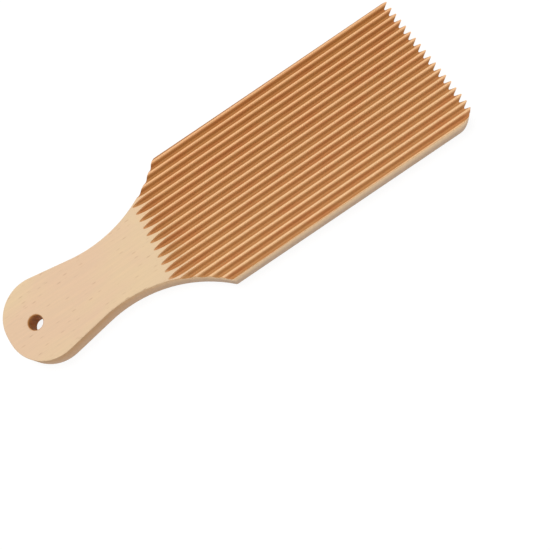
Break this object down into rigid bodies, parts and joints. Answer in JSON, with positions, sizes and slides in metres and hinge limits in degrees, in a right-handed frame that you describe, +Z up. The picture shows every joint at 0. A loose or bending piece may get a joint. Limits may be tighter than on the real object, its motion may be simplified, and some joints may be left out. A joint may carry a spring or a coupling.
{
  "type": "gnocchi board",
  "caption": "Flat wooden gnocchi board: shaped handle with a hanging hole and a blade with long V grooves for rolling ridges into dough.",
  "frame": {"origin": "middle of the board's length and width, on the underside, at the surface that it rests on", "axes": "+X along the board from the handle to the far end of the blade, +Y across it, +Z up out of the grooved face"},
  "size_m": [0.21, 0.0648, 0.0095],
  "materials": {
    "beech_wood": "bare sanded beech, unvarnished, matt"
  },
  "bodies": {
    "root": {"gnocchi_board": "beech_wood"}
  },
  "joints": []
}
